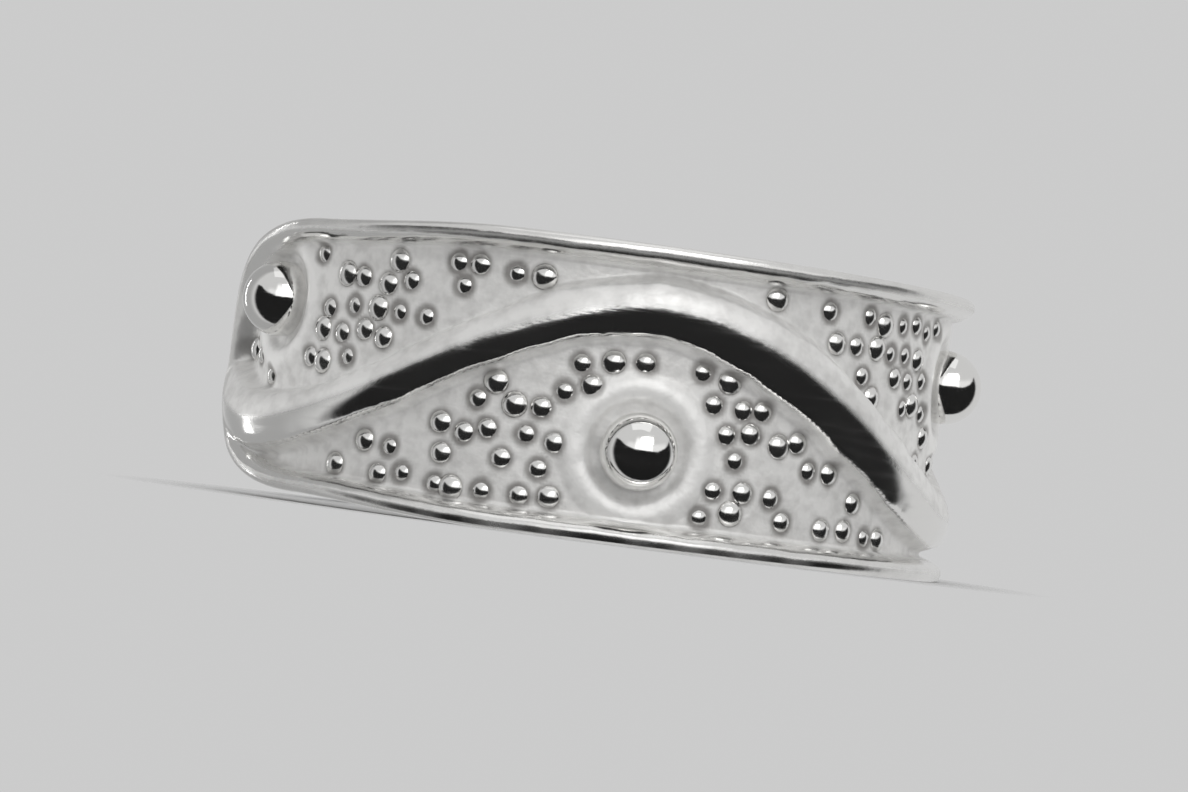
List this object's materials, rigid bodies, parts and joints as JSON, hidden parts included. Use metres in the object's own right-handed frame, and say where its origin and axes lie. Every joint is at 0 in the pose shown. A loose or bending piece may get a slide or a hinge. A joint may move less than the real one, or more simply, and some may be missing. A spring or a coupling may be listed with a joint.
{
  "type": "ear cuff",
  "caption": "Open silver band worn over the rim of an ear, with rounded ends, a raised wave, balls in ringed cups and small grains between raised borders.",
  "frame": {"origin": "on the axis of the cuff, at the level of the side that it lies on", "axes": "+Z along the axis of the cuff; +X towards the middle of the band; the opening between the ends faces -X"},
  "size_m": [0.0122, 0.012, 0.0046],
  "materials": {
    "silver": "cast sterling silver, polished on the raised parts, soft satin in the sunk ground"
  },
  "bodies": {
    "root": {"cuff_band": "silver"}
  },
  "joints": []
}
